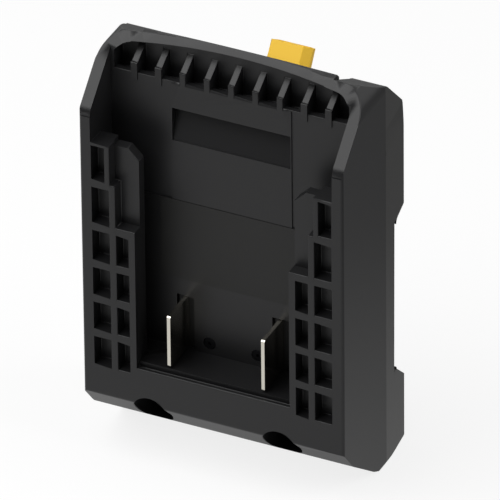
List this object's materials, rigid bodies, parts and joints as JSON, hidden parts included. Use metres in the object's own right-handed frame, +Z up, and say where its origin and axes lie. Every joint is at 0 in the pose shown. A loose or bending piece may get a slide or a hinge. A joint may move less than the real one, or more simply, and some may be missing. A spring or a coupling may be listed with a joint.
{
  "type": "tool battery adapter",
  "caption": "Black moulded receiver that a slide-on tool battery clips into, with rail lips, blade terminals, a finned rim and a leaning two-pole output connector.",
  "frame": {"origin": "on the centre line, in the front plane of the rail lips, at the level of the lowest point of the foot", "axes": "+X across the width, +Y from the front face into the depth, +Z up, from the foot to the arched rim"},
  "size_m": [0.092, 0.0466, 0.1511],
  "materials": {
    "shell_plastic": "fine moulded texture",
    "label_film": "matt printed film",
    "carrier_plastic": "moulded",
    "blade_metal": "nickel-plated copper alloy",
    "screw_steel": "black zinc",
    "board_green": "solder mask",
    "chip_plastic": "epoxy",
    "sink_aluminium": "extruded",
    "can_sleeve": "shrink sleeve",
    "fuse_plastic": "clear moulded",
    "shunt_metal": "manganin strip",
    "connector_plastic": "moulded nylon",
    "contact_metal": "gold plated",
    "lug_metal": "tinned",
    "lead_red": "silicone",
    "lead_black": "silicone"
  },
  "bodies": {
    "root": {"front_shell": "shell_plastic", "rear_shell": "shell_plastic", "rating_label": "label_film", "positive_blade": "blade_metal", "negative_blade": "blade_metal", "terminal_carrier": "carrier_plastic", "carrier_screws": "screw_steel", "positive_lug": "lug_metal", "negative_lug": "lug_metal", "lug_rivets": "lug_metal", "case_screws_lower": "screw_steel", "case_screws_upper": "screw_steel", "circuit_board": "board_green", "board_screws": "screw_steel", "left_mosfet": "chip_plastic", "right_mosfet": "chip_plastic", "heat_sink": "sink_aluminium", "bulk_capacitor": "can_sleeve", "fuse_holder": "chip_plastic", "fuse": "fuse_plastic", "current_shunt": "shunt_metal", "controller_chip": "chip_plastic", "connector_housing": "connector_plastic", "positive_contact": "contact_metal", "negative_contact": "contact_metal", "connector_retainer": "carrier_plastic", "retainer_screws": "screw_steel", "positive_input_lead": "lead_red", "negative_input_lead": "lead_black", "positive_output_lead": "lead_red", "negative_output_lead": "lead_black"}
  },
  "joints": []
}
